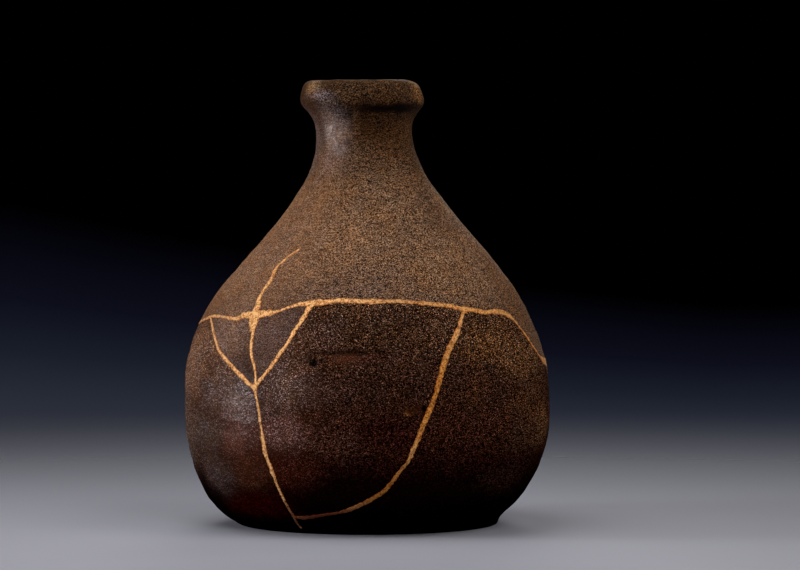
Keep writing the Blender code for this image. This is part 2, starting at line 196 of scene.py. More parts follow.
# (azimuth, height, radius) of the places where seams meet and the gold has pooled
GOLD_POOLS = (
    (-42.3, 96.6, 2.5), (-41.8, 94.3, 2.7), (-41.5, 92.4, 2.1), (-41.2, 90.2, 1.4),
    (-45.5, 96.2, 1.8), (-48.2, 95.9, 1.4), (-39.2, 96.9, 1.9), (-36.4, 97.4, 1.5),
    (-42.6, 99.4, 1.6), (-42.8, 101.6, 1.1), (-20.5, 101.2, 2), (-17.5, 102.2, 1.6),
    (37, 98.8, 1.7), (-36.4, 65.2, 1.4),
)


# ---- Curves and noise ----
# keeps the numbers of the noise's cells above 0
CELL_SHIFT = 4096


def smooth_value(points, at):
    """Read a smooth curve through (place, value) points at the given places."""
    places, values = np.array(points).T
    slopes = np.gradient(values, places)
    index = np.clip(np.searchsorted(places, at) - 1, 0, len(places) - 2)
    span = places[index + 1] - places[index]
    t = (at - places[index]) / span
    start = (1 + 2 * t) * (1 - t) ** 2 * values[index] + t * (1 - t) ** 2 * span * slopes[index]
    end = t * t * (3 - 2 * t) * values[index + 1] - t * t * (1 - t) * span * slopes[index + 1]
    return start + end


def catmull_rom(before, start, end, after, t):
    """Point on the smooth curve from start to end, at t from 0 to 1."""
    pull = (end - before) * t + (2 * before - 5 * start + 4 * end - after) * t * t
    twist = (3 * start - before - 3 * end + after) * t**3
    return start + (pull + twist) / 2


def lean(height):
    """Shift of the centre line towards +X."""
    return smooth_value(LEAN_PROFILE, height)


def hashed(cells, seed):
    """A repeatable value from 0 to 1 for each whole-numbered cell."""
    x, y, z = (cells[:, k].astype(np.uint64) for k in range(3))
    mixed = x * np.uint64(374761393) + y * np.uint64(668265263) + z * np.uint64(2147483647)
    mixed = (mixed + np.uint64(seed * 1274126177)) & np.uint64(0xFFFFFFFF)
    mixed = ((mixed ^ (mixed >> np.uint64(13))) * np.uint64(1274126177)) & np.uint64(0xFFFFFFFF)
    return ((mixed ^ (mixed >> np.uint64(16))) & np.uint64(0xFFFFFF)) / float(0xFFFFFF)


def noise(points, size, seed):
    """Smooth random field from about -1 to 1, with lumps of one size."""
    place = points / size
    cell = np.floor(place).astype(np.int64)
    t = place - cell
    t = t * t * (3 - 2 * t)
    total = np.zeros(len(points))
    for corner in itertools.product((0, 1), repeat=3):
        share = np.prod(np.where(corner, t, 1 - t), axis=1)
        total += share * hashed(cell + corner + CELL_SHIFT, seed)
    return 2 * total - 1


def layered(points, layers, start=0.0):
    """Noises, each with a strength, a size of its lumps and a seed, added to a start."""
    return sum((strength * noise(points, *layer) for strength, *layer in layers), start)


def drifted(points, azimuths, drift):
    """Azimuths and heights of points, shifted by noise so that patches get uneven rims."""
    return layered(points, drift[0], azimuths), layered(points, drift[1], points[:, 2])


def fade(values, start, length):
    """0 up to a start, rising to 1 over a length."""
    return np.clip((values - start) / length, 0, 1)


def azimuths_of(points):
    """Azimuths of points, seen from the leaning centre line."""
    return np.degrees(np.arctan2(points[:, 0] - lean(points[:, 2]), -points[:, 1]))


def sides_of(triangles):
    """The three sides of each triangle, in its own direction."""
    return np.vstack([triangles[:, pair] for pair in ((0, 1), (1, 2), (2, 0))])


# ---- The section of the vase ----
def raw_outline():
    """(radius, height) of the whole section: underside, wall, lip, inside and floor."""
    heights = np.linspace(0.0, WALL_PROFILE[-1][0], WALL_STEPS)
    radii = smooth_value(WALL_PROFILE, heights)
    wall = np.column_stack((radii, heights))
    corners = np.array(LIP_OUTLINE)[::-1]
    corners = np.vstack((2 * corners[0] - corners[1], corners, 2 * corners[-1] - corners[-2]))
    lip = [catmull_rom(*corners[k : k + 4], t) for k in range(len(corners) - 3) for t in LIP_STEPS]
    slopes = np.gradient(wall, axis=0)
    slopes /= np.linalg.norm(slopes, axis=1)[:, None]
    inside = wall - WALL_THICKNESS * np.column_stack((slopes[:, 1], -slopes[:, 0]))
    lowest, highest = INNER_WALL_HEIGHTS
    inside = inside[(heights > lowest) & (heights < highest)][::-1]
    return np.vstack(([(0.0, 0.0)], wall, lip, inside, FLOOR_OUTLINE[::-1]))


class Section:
    """The vase's section as a function of the length along it, and its place when unrolled."""

    def __init__(self):
        outline = raw_outline()
        lengths = np.append(0.0, np.cumsum(np.linalg.norm(np.diff(outline, axis=0), axis=1)))
        self.along = np.arange(0.0, lengths[-1], OUTLINE_STEP)
        even = [np.interp(self.along, lengths, outline[:, k]) for k in range(2)]
        reach = int(4 * EDGE_ROUNDING / OUTLINE_STEP)
        weights = np.exp(-0.5 * (np.arange(-reach, reach + 1) * OUTLINE_STEP / EDGE_ROUNDING) ** 2)
        weights /= weights.sum()
        self.radius, self.height = (
            np.convolve(np.pad(values, reach, "edge"), weights, "valid") for values in even
        )
        self.height -= self.height.min()
        self.kept = (self.radius > POLE_RADIUS).nonzero()[0][[0, -1]]
        steps = OUTLINE_STEP / np.maximum(self.radius, POLE_RADIUS)
        self.unrolled = UNROLL_RADIUS * (np.cumsum(steps) - steps[0])
        slope_r, slope_z = np.gradient(self.radius), np.gradient(self.height)
        size = np.hypot(slope_r, slope_z)
        self.normal_r, self.normal_z = slope_z / size, -slope_r / size
        self.crown = int(np.argmax(self.height))
        self.outside = slice(0, self.crown)
        self.inside = slice(self.crown, None)

    def along_at(self, heights, inside=False):
        """Length along the section at heights on the outer or the inner wall."""
        part, way = (self.inside, -1) if inside else (self.outside, 1)
        return np.interp(heights, self.height[part][::way], self.along[part][::way])

    def read(self, values, along):
        """One of the section's values at lengths along it."""
        return np.interp(along, self.along, values)

    def places(self, x, y):
        """Points, normals and lengths along the section for places on the unrolled plane."""
        along = np.interp(y, self.unrolled, self.along)
        angle = x / UNROLL_RADIUS
        radius, height = self.read(self.radius, along), self.read(self.height, along)
        sine, cosine = np.sin(angle), np.cos(angle)
        points = np.column_stack((radius * sine + lean(height), -radius * cosine, height))
        normal_r, normal_z = self.read(self.normal_r, along), self.read(self.normal_z, along)
        size = np.hypot(normal_r, normal_z)
        normals = np.column_stack((normal_r * sine, -normal_r * cosine, normal_z))
        return points, normals / size[:, None], along


section = Section()


# ---- Seams on the unrolled plane ----
def unroll(azimuth, height, inside=False):
    """Place on the unrolled plane of an azimuth and a height on the outer or inner wall."""
    along = section.along_at(height, inside)
    return np.radians(azimuth) * UNROLL_RADIUS, np.interp(along, section.along, section.unrolled)


def seam_line(course, closed):
    """Close places along a smooth seam as (azimuth, height, width), and where its spans start."""
    points = np.array(course)
    if closed:
        ahead = points + (360.0, 0.0, 0.0)
        points = np.vstack((points[-1] - (360.0, 0.0, 0.0), points, ahead[0], ahead[1]))
    else:
        points = np.vstack((2 * points[0] - points[1], points, 2 * points[-1] - points[-2]))
    line, starts = [], []
    for k in range(1, len(points) - 2):
        radius = section.read(section.radius, section.along_at(points[k][1]))
        turn = radius * math.radians(points[k + 1][0] - points[k][0])
        count = math.ceil(math.hypot(turn, points[k + 1][1] - points[k][1]) / SEAM_SPACING)
        starts.append(len(line))
        for t in np.arange(count) / count:
            line.append(catmull_rom(*points[k - 1 : k + 3], t))
    starts.append(len(line))
    line.append(points[-2])
    return np.array(line), starts


class PlanePoints:
    """Points on the unrolled plane, each place kept once."""

    def __init__(self):
        self.places = []
        self.known = {}

    def add(self, x, y):
        """Index of the point at a place."""
        key = (round(float(x), 5), round(float(y), 5))
        if key not in self.known:
            self.known[key] = len(self.places)
            self.places.append((float(x), float(y)))
        return self.known[key]


def joint_edges(plane):
    """The joints between sherds: edges on the outer wall, and each point's partner inside."""
    edges, partner = [], {}
    for name, (course, parting) in SEAMS.items():
        if not parting:
            continue
        line, starts = seam_line(course, name == RING)
        if name != RING:
            line = line[: starts[parting - 1] + 1]
        previous = None
        for azimuth, height, _width in line:
            depth_height = np.interp(height, *zip(*INNER_HEIGHT))
            turned = azimuth - 360.0 if azimuth > 180.0 + SAME_PLACE else azimuth
            at_border = abs(azimuth - 180.0) < SAME_PLACE
            for side in (180.0, -180.0) if at_border else (turned,):
                point = plane.add(*unroll(side, height))
                partner[point] = plane.add(*unroll(side, depth_height, inside=True))
                if previous is not None and side > -180.0:
                    edges.append((previous, point))
                previous = point
    return edges, partner


def row_spacing():
    """Wished distance between points, along the section."""
    foot = np.interp(1.0, section.height[section.outside], section.along[section.outside])
    lowest = section.along_at(FINE_INSIDE_FROM, inside=True)
    below, inside = foot - FINE_PAST_FOOT - section.along, section.along - lowest
    away = np.maximum(np.maximum(below, inside), 0.0)
    return np.minimum(FINE_SPACING + SPACING_GROWTH * away, COARSE_SPACING)


def plane_grid(joint_points):
    """Staggered rows of points that fill the plane, except next to a joint."""
    spacing = row_spacing()
    first, last = section.kept
    kept = slice(first, last + 1)
    progress = np.cumsum(OUTLINE_STEP / (spacing * math.sqrt(0.75)))[kept]
    progress -= progress[0]
    marks = np.linspace(0, progress[-1], 2 * round(progress[-1] / 2) + 1)
    rows = np.interp(marks, progress, section.along[kept])
    xs, ys, reach = [], [], []
    for k, along in enumerate(rows):
        radius = section.read(section.radius, along)
        step = section.read(spacing, along)
        number = max(FEWEST_IN_ROW, round(math.tau * radius / step))
        steps = np.arange(number + 1) if k % 2 == 0 else np.arange(number) + 0.5
        xs.append(-HALF_TURN + steps * 2 * HALF_TURN / number)
        ys.append(np.full(len(steps), section.read(section.unrolled, along)))
        reach.append(np.full(len(steps), SEAM_CLEARANCE * step * UNROLL_RADIUS / radius))
    xs, ys, reach = np.concatenate(xs), np.concatenate(ys), np.concatenate(reach)
    xs[np.abs(xs - HALF_TURN) < SAME_PLACE] = HALF_TURN
    tree = KDTree(len(joint_points))
    for k, (x, y) in enumerate(joint_points):
        tree.insert((x, y, 0.0), k)
    tree.balance()
    near = np.array([tree.find((x, y, 0.0))[2] for x, y in zip(xs, ys)]) < reach
    for k in np.flatnonzero(near & (np.abs(xs) == HALF_TURN)):
        near[np.abs(ys - ys[k]) + np.abs(np.abs(xs) - HALF_TURN) < SAME_PLACE] = True
    return np.column_stack((xs, ys))[~near]


def connected(count, pairs):
    """Label of the connected group of each of `count` things, joined by pairs."""
    labels = np.arange(count)
    while True:
        ends = labels[pairs]
        ends = ends[ends[:, 0] != ends[:, 1]]
        if not len(ends):
            return labels
        np.minimum.at(labels, ends.max(axis=1), ends.min(axis=1))
        while (labels[labels] != labels).any():
            labels = labels[labels]


class Unrolled:
    """The unrolled surface in triangles, with the joints as edges and a label for each region."""

    def __init__(self):
        plane = PlanePoints()
        edges, partner = joint_edges(plane)
        joints = np.array(plane.places)
        grid = plane_grid(joints)
        inner_edges = [(partner[a], partner[b]) for a, b in edges]
        places = np.vstack((joints, grid))
        vectors = [Vector(place) for place in places]
        found = delaunay_2d_cdt(vectors, edges + inner_edges, [], 0, MERGE_DISTANCE)
        if len(found[0]) != len(places):
            raise RuntimeError(f"{len(places)} points became {len(found[0])} when triangulated")
        order = np.array([sources[0] for sources in found[3]])
        triangles = order[np.array(found[2])]
        left = np.flatnonzero(places[:, 0] == -HALF_TURN)
        right = np.flatnonzero(places[:, 0] == HALF_TURN)
        left, right = left[np.argsort(places[left, 1])], right[np.argsort(places[right, 1])]
        if len(left) != len(right) or np.ptp(places[[left, right], 1], axis=0).max() > SAME_PLACE:
            raise RuntimeError("the two borders of the unrolled surface differ")
        weld = np.arange(len(places))
        weld[right] = left
        self.triangles = weld[triangles]
        self.edges = weld[np.array(edges)]
        self.partner = {int(weld[a]): int(weld[b]) for a, b in partner.items()}
        self.places = places
        self.add_poles()
        self.labels = self.regions()

    def add_poles(self):
        """Close the surface at the middle of the underside and of the floor inside."""
        top, low = self.places[:, 1].max(), self.places[:, 1].min()
        fans = []
        for y, turned in ((low, True), (top, False)):
            rim = np.flatnonzero((self.places[:, 1] == y) & (self.places[:, 0] < HALF_TURN))
            rim = rim[np.argsort(self.places[rim, 0])]
            pole = len(self.places) + len(fans)
            ahead = np.roll(rim, -1)
            pairs = (ahead, rim) if turned else (rim, ahead)
            fans.append(np.column_stack((*pairs, np.full(len(rim), pole))))
        self.triangles = np.vstack((self.triangles, *fans))

    def regions(self):
        """Label of the region of each triangle, with the joints as borders."""
        triangles = self.triangles
        count = len(self.places) + 2
        sides = sides_of(triangles)
        keys = sides.min(axis=1) * count + sides.max(axis=1)
        inner = np.array([[self.partner[int(a)], self.partner[int(b)]] for a, b in self.edges])
        barriers = np.vstack((self.edges, inner))
        barrier_keys = barriers.min(axis=1) * count + barriers.max(axis=1)
        owner = np.tile(np.arange(len(triangles)), 3)
        order = np.argsort(keys, kind="stable")
        keys, owner = keys[order], owner[order]
        same = (keys[1:] == keys[:-1]) & ~np.isin(keys[1:], barrier_keys)
        return connected(len(triangles), np.column_stack((owner[:-1][same], owner[1:][same])))


# ---- Relief: throwing rings, lumps, grit, pits and nicks, in millimetres along the normal ----
# (azimuth, height, radius, depth) of the pits that stand out, then a spread of smaller ones
PITS = [
    (24.8, 149.1, 1.1, 0.3), (7.2, 130.8, 0.9, 0.28), (7.3, 124.3, 0.9, 0.25),
    (1.5, 177.1, 1.1, 0.3), (-57.8, 137, 1.2, 0.25), (27.4, 85.8, 1.8, 0.5), (17.6, 56.6, 1.9, 1),
    (-16.6, 76.4, 2.3, 1.3), (-14.2, 77.4, 1.6, 0.8), (-60.7, 63.5, 0.8, 0.22),
    (-42.2, 45.9, 0.9, 0.3),
]
PIT_COUNT = 220
PIT_HEIGHTS = (4.0, 198.0)
PIT_RADII = (0.6, 1.3)
# depth as a share of the radius
PIT_DEPTHS = (0.1, 0.26)
PIT_SEED = 11
# a drawn pit is always kept between these heights, and elsewhere with this chance
PITTED_HEIGHTS = (100.0, 160.0)
PIT_CHANCE = 0.45
# azimuth, height, half width and half height of the place where ash has melted on the neck
NECK_GLAZE = (-34.0, 175.0, 21.0, 13.0)
# the same for the blister beside the gouge in the front
BLISTER = (-18.5, 73.0, 3.2, 2.6)
BLISTER_RISE = 0.7
# noises that are added up: strength, size of the lumps and seed of each
SWELL = ((0.24, 31, 1), (0.12, 12, 2))
RINGS = ((0.09, 6, 3), (0.05, 2.6, 4))
RINGS_CHANGE = ((0.6, 24, 5),)
RINGS_INSIDE = ((0.25, 9, 14),)
GRIT = ((0.06, 2.4, 6), (0.03, 1.2, 7), (0.06, 1.5, 9))
LIP_WAVES = ((0.35, 14, 12), (0.15, 5, 13))
GLAZE_WRINKLES = ((0.5, 4, 15), (0.25, 2, 16), (0.3, 2.4, 17))
# noises that shift the azimuths, and those that shift the heights
RIDGE_DRIFT = (((2, 6, 18),), ((0.8, 7, 19),))
# height from which the lip is uneven and from which the foot isn't flat, and the fade there
LIP_FADE = (183, 6)
FOOT_FADE = (0.2, 1.5)
# height at the foot where the relief starts and inside the neck where it ends, and its fade there
RELIEF_FOOT = (0.6, 3.0)
RELIEF_NECK = (178.0, 12.0)
# (azimuth, height, half width, half height, rise) of ridges and hollows left by fingers
RIDGES = (
    (-5, 82.6, 13, 1.7, 0.45), (-4, 80.2, 12, 1.3, -0.35), (6, 76.5, 14, 1.6, 0.25),
    (2, 70.5, 16, 1.8, 0.25), (-30, 60, 12, 1.6, 0.2), (-42, 50, 14, 1.4, 0.2),
    (50, 69, 22, 1.6, 0.3), (-44, 64, 13, 1, 0.1), (-41, 57.5, 13, 0.9, 0.1),
    (-43, 53.5, 12, 1, -0.1), (-38, 45, 14, 0.9, -0.15),
)


def scattered_pits():
    """The named pits and a seeded spread of smaller ones, thicker on the shoulder."""
    draw = np.random.default_rng(PIT_SEED)
    pits = list(PITS)
    low, high = PITTED_HEIGHTS
    while len(pits) < PIT_COUNT:
        azimuth, height = draw.uniform(-180.0, 180.0), draw.uniform(*PIT_HEIGHTS)
        chance, size, depth = draw.random(), draw.uniform(*PIT_RADII), draw.uniform(*PIT_DEPTHS)
        if low < height < high or chance < PIT_CHANCE:
            pits.append((azimuth, height, size, size * depth))
    return pits


def pitted(points):
    """Depth of the pits at points on the outside."""
    depth = np.zeros(len(points))
    order = np.argsort(points[:, 2])
    heights = points[order, 2]
    for azimuth, height, radius, deep in scattered_pits():
        centre = section.places(*unroll(np.array([azimuth]), np.array([height])))[0][0]
        first, last = np.searchsorted(heights, (centre[2] - radius, centre[2] + radius))
        near = order[first:last]
        away = np.linalg.norm(points[near] - centre, axis=1) / radius
        bowl = np.clip(1 - away**2, 0, None) ** 1.5 * deep
        depth[near] = np.maximum(depth[near], bowl)
    return depth


def outsideness(along):
    """1 on the outside and the lip, fading to 0 on the underside and deep inside the neck."""
    (foot, foot_fade), (neck, neck_fade) = RELIEF_FOOT, RELIEF_NECK
    end = section.along_at(neck, inside=True) + neck_fade
    start = section.along_at(foot)
    return fade(along, start, foot_fade) * np.clip((end - along) / neck_fade, 0, 1)


def patch_share(azimuths, heights, azimuth, height, wide, tall):
    """1 in the middle of a patch, falling to 0 past its rim."""
    across = (azimuths - azimuth + 180.0) % 360.0 - 180.0
    away = np.hypot(across / wide, (heights - height) / tall)
    return np.exp(-(away**3))


def relief(points, along):
    """How far the surface stands out from the plain turned shape."""
    heights = points[:, 2]
    # marks of throwing change with the height alone
    thrown = points * (0.0, 0.0, 1.0)
    rings = layered(thrown, RINGS) * layered(points, RINGS_CHANGE, 1.0)
    azimuths = np.degrees(np.arctan2(points[:, 0], -points[:, 1]))
    glossy = patch_share(azimuths, heights, *NECK_GLAZE)
    grit = layered(points, GRIT) * (1 - glossy) + glossy * layered(points, GLAZE_WRINKLES)
    blister = BLISTER_RISE * patch_share(azimuths, heights, *BLISTER)
    places = drifted(points, azimuths, RIDGE_DRIFT)
    for *place, rise in RIDGES:
        rings = rings + rise * patch_share(*places, *place)
    uneven = fade(heights, *LIP_FADE) * layered(points, LIP_WAVES)
    outside = outsideness(along)
    out = outside * (layered(points, SWELL) + rings + grit + uneven + blister)
    return (out + (1 - outside) * layered(thrown, RINGS_INSIDE)) * fade(heights, *FOOT_FADE)


# ---- Sherds ----
def make_mesh(name, points, triangles, sharp_angle):
    """A smooth-shaded mesh in metres from points in millimetres."""
    mesh = bpy.data.meshes.new(name)
    mesh.from_pydata((points * MM).tolist(), [], triangles.tolist())
    mesh.shade_smooth()
    mesh.set_sharp_from_angle(angle=math.radians(sharp_angle))
    return mesh


def link(name, data):
    """A new object in the scene."""
    made = bpy.data.objects.new(name, data)
    bpy.context.scene.collection.objects.link(made)
    return made


def add_piece(name, mesh, material, node):
    """Put a piece in the scene in the place of its CAD node."""
    mesh.materials.append(material)
    piece = link(name, mesh)
    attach(piece, "root")
    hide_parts(node)


def set_attribute(mesh, name, values):
    """Store one number or one colour for each point of a mesh."""
    kind, key = ("FLOAT", "value") if values.ndim == 1 else ("FLOAT_COLOR", "color")
    if kind == "FLOAT_COLOR":
        values = np.column_stack((values, np.ones(len(values))))
    attribute = mesh.attributes.new(name, kind, "POINT")
    attribute.data.foreach_set(key, values.astype(np.float32).ravel())


class Surface:
    """The unrolled surface rolled up again, with its relief."""

    def __init__(self, unrolled):
        self.unrolled = unrolled
        points, normals, along = section.places(*unrolled.places.T)
        out = relief(points, along) - pitted(points) * outsideness(along)
        low, high = section.height[0], section.height[-1]
        poles = np.array([(float(lean(low)), 0.0, low), (float(lean(high)), 0.0, high)])
        self.points = np.vstack((points + normals * out[:, None], poles))

    def region_at(self, azimuth, height, inside):
        """Label of the region at a place on the outer or the inner wall."""
        unrolled = self.unrolled
        ordinary = (unrolled.triangles < len(unrolled.places)).all(axis=1)
        centres = unrolled.places[unrolled.triangles[ordinary]].mean(axis=1)
        target = np.array(unroll(azimuth, height, inside))
        nearest = np.argmin(np.linalg.norm(centres - target, axis=1))
        return unrolled.labels[ordinary][nearest]

    def sherd(self, azimuth, height):
        """Points and closed triangles of the sherd at a place."""
        unrolled = self.unrolled
        labels = [self.region_at(azimuth, height, inside) for inside in (False, True)]
        triangles = unrolled.triangles[np.isin(unrolled.labels, labels)]
        joint = set(unrolled.partner)
        keys = {(int(a), int(b)) for a, b in unrolled.edges}
        keys |= {(b, a) for a, b in keys}
        sides = sides_of(triangles)
        on_joint = np.isin(sides, list(joint)).all(axis=1)
        walls = []
        for a, b in sides[on_joint].tolist():
            if (a, b) in keys:
                inner_a, inner_b = unrolled.partner[a], unrolled.partner[b]
                walls += [(b, a, inner_a), (b, inner_a, inner_b)]
        points = self.points.copy()
        centres = points[triangles].mean(axis=1)
        pull, shares = np.zeros_like(points), np.zeros(len(points))
        for k in range(3):
            np.add.at(pull, triangles[:, k], centres)
            np.add.at(shares, triangles[:, k], 1)
        rim = np.array(sorted(joint | set(unrolled.partner.values())))
        rim = rim[shares[rim] > 0]
        inwards = pull[rim] / shares[rim][:, None] - points[rim]
        points[rim] += JOINT_GAP * inwards / np.linalg.norm(inwards, axis=1)[:, None]
        closed = np.vstack((triangles, np.array(walls)))
        used, flat = np.unique(closed, return_inverse=True)
        return points[used], flat.reshape(closed.shape)


# ---- Gold ----
def gold_field():
    """Grid on the unrolled plane: how deep in the gold each node is, and the gold's half width."""
    columns = round(2 * HALF_TURN / GOLD_CELL)
    cell = 2 * HALF_TURN / columns
    lowest, highest = (unroll(0.0, height)[1] for height in GOLD_HEIGHTS)
    rows = math.ceil((highest - lowest) / cell)
    corner = np.array((-HALF_TURN, lowest))
    inside = np.full((rows, columns), NO_GOLD)
    half = np.full((rows, columns), 0.5)
    for name, (course, _parting) in SEAMS.items():
        line, _starts = seam_line(course, name == RING)
        places = np.column_stack(unroll(line[:, 0], line[:, 1]))
        scales = section.read(section.radius, section.along_at(line[:, 1])) / UNROLL_RADIUS
        for k in range(len(line) - 1):
            start, end = places[k], places[k + 1]
            scale = (scales[k] + scales[k + 1]) / 2
            reach = GOLD_REACH / scale
            low = (np.minimum(start, end) - reach - corner) / cell
            high = (np.maximum(start, end) + reach - corner) / cell
            across = np.arange(math.floor(low[0]), math.ceil(high[0]))
            upward = np.arange(max(0, math.floor(low[1])), min(rows, math.ceil(high[1])))
            x = across * cell - HALF_TURN - start[0]
            y = (upward * cell + lowest - start[1])[:, None]
            course_x, course_y = end - start
            t = np.clip((x * course_x + y * course_y) / (course_x**2 + course_y**2), 0, 1)
            away = np.hypot(x - t * course_x, y - t * course_y) * scale
            width = (line[k, 2] * (1 - t) + line[k + 1, 2] * t) / 2
            window = np.ix_(upward, across % columns)
            better = width - away > inside[window]
            inside[window] = np.where(better, width - away, inside[window])
            half[window] = np.where(better, width, half[window])
    for azimuth, height, radius in GOLD_POOLS:
        x, y = unroll(azimuth, height)
        scale = float(section.read(section.radius, section.along_at(height))) / UNROLL_RADIUS
        away_x = (np.arange(columns) * cell - HALF_TURN - x) * scale
        away_y = (np.arange(rows) * cell + lowest - y)[:, None] * scale
        depth = radius - np.hypot(away_x, away_y)
        half = np.where((depth > 0) & (depth > inside), radius, half)
        inside = np.maximum(inside, depth)
    return inside, half, cell, lowest


def gold_places(inside, cell, lowest):
    """The numbers of the grid's nodes near the gold, and the points of the vase under them."""
    nodes = np.flatnonzero(inside > GOLD_NEAR)
    rows, columns = np.divmod(nodes, inside.shape[1])
    points, _normals, _along = section.places(columns * cell - HALF_TURN, rows * cell + lowest)
    return nodes, points


def corner_key(p, q):
    """Keys of corners on the edges between two nodes, or at a node that is given twice."""
    return np.column_stack((np.minimum(p, q), np.maximum(p, q)))


def marched(inside):
    """Triangles of the part of the grid where the field is above 0, as keys of their corners."""
    rows, columns = inside.shape
    number = np.arange(rows * columns).reshape(rows, columns)
    ahead = np.roll(number, -1, axis=1)
    a, b, c, d = number[:-1], ahead[:-1], ahead[1:], number[1:]
    halves = ((a, b, c), (a, c, d))
    corners = np.vstack([np.column_stack([k.ravel() for k in half]) for half in halves])
    flat = inside.ravel()
    count = (flat[corners] > 0).sum(axis=1)
    corners, count = corners[count > 0], count[count > 0]
    whole = corners[count == 3]
    triangles = [np.stack((whole, whole), axis=2)]
    for wanted, value in ((1, True), (2, False)):
        part = corners[count == wanted]
        odd = ((flat[part] > 0) == value).argmax(axis=1)
        index = (odd[:, None] + np.arange(3)) % 3
        p, q, r = np.take_along_axis(part, index, axis=1).T
        pq, pr = corner_key(p, q), corner_key(p, r)
        if value:
            triangles.append(np.stack((corner_key(p, p), pq, pr), axis=1))
        else:
            q, r = corner_key(q, q), corner_key(r, r)
            triangles.append(np.stack((pq, q, r), axis=1))
            triangles.append(np.stack((pq, r, pr), axis=1))
    return np.vstack(triangles)


def gold_mesh():
    """The gold network: one closed mesh, rounded on top and sunk into the surface below."""
    inside, half, cell, lowest = gold_field()
    shape = inside.shape
    nodes, points = gold_places(inside, cell, lowest)
    ragged = layered(points, GOLD_RAGGED)
    near = half.ravel()[nodes]
    spill = GOLD_SPILL + 0.6 * np.clip(GOLD_THIN - near, 0, 0.3)
    field = np.full(inside.size, NO_GOLD)
    field[nodes] = inside.ravel()[nodes] + spill + ragged * np.clip(near / 0.8, 0.6, 1.0)
    field[np.abs(field) < LEAST_FIELD] = LEAST_FIELD
    keys = marched(field.reshape(shape))
    combined = keys[..., 0] * inside.size + keys[..., 1]
    unique, triangles = np.unique(combined, return_inverse=True)
    triangles = triangles.reshape(combined.shape)
    groups = connected(len(unique), np.vstack((triangles[:, :2], triangles[:, 1:])))
    main = np.bincount(groups).argmax()
    triangles = triangles[groups[triangles[:, 0]] == main]
    kept, flat = np.unique(triangles, return_inverse=True)
    unique, triangles = unique[kept], flat.reshape(triangles.shape)
    first, second = np.divmod(unique, inside.size)
    on_edge = first != second
    fall = np.where(on_edge, field[first] - field[second], 1.0)
    share = np.where(on_edge, np.clip(field[first] / fall, *CROSSINGS), 0.0)
    turn = shape[1]
    row_a, column_a = np.divmod(first, turn)
    row_b, column_b = np.divmod(second, turn)
    wrapped = np.abs(column_a - column_b) > turn // 2
    column_a = np.where(wrapped & (column_a < column_b), column_a + turn, column_a)
    behind = wrapped & (column_b < turn // 2) & (column_a > column_b)
    column_b = np.where(behind, column_b + turn, column_b)
    x = (column_a + share * (column_b - column_a)) * cell - HALF_TURN
    y = (row_a + share * (row_b - row_a)) * cell + lowest
    base, normals, along = section.places(x, y)
    ground = relief(base, along)
    width = half.ravel()[first]
    depth = np.where(on_edge, 0.0, field[first])
    fullness = np.clip(depth / np.clip(width, 0.3, 0.9), 0, 1)
    crown = np.minimum(GOLD_PROUD, 0.10 + 0.10 * width) * (1 - (1 - fullness) ** 4)
    rise = ground + GOLD_EDGE_LIFT + crown + layered(base, GOLD_GRAIN) * np.sqrt(fullness)
    top = base + normals * rise[:, None]
    low = base + normals * (ground - GOLD_SUNK)[:, None]
    count = len(base)
    sides = sides_of(triangles)
    forward = sides[:, 0] * count + sides[:, 1]
    rim = sides[~np.isin(forward, sides[:, 1] * count + sides[:, 0])]
    a, b = rim.T
    skirt = [np.column_stack(three) for three in ((b, a, a + count), (b, a + count, b + count))]
    faces = np.vstack((triangles, triangles[:, ::-1] + count, *skirt))
    return np.vstack((top, low)), faces, np.append(fullness, np.zeros(count))


# ---- Materials ----
# specular level, contrast of the grain, its mean, and ranks between which grains lighten
CLAYS = {
    "stoneware": (0.04, 12.0, 2.12, (0.1, 0.55)),
    "dark_stoneware": (0.0, 40.0, 1.45, (0.0, 1.0)),
}
GRAIN_SIZE = 0.39
SAND_SIZE = 0.41
# size of their cells, share of the cells that have one, and radius, in millimetres
DARK_SPECKS = (1.1, 0.2, 0.33)
CRYSTALS = (1.7, 0.12, 0.26)
SPECK_COLOUR = (0.008, 0.003, 0.0015)
# these multiply the tone
CRYSTAL_TINT = (2.6, 3.0, 3.4)
WARM_TINT, COOL_TINT = (1.08, 1.0, 0.87), (0.95, 1.0, 1.08)
DARK_GRAIN_TINT, LIGHT_GRAIN_TINT = (1.36, 0.89, 0.42), (0.86, 1.06, 1.42)
GOLD_DARK, GOLD_LIGHT = (0.45, 0.12, 0.01), (1.0, 0.61, 0.26)
WORN_TINT, RIM_TINT = (0.60, 0.46, 0.34), (0.70, 0.42, 0.22)


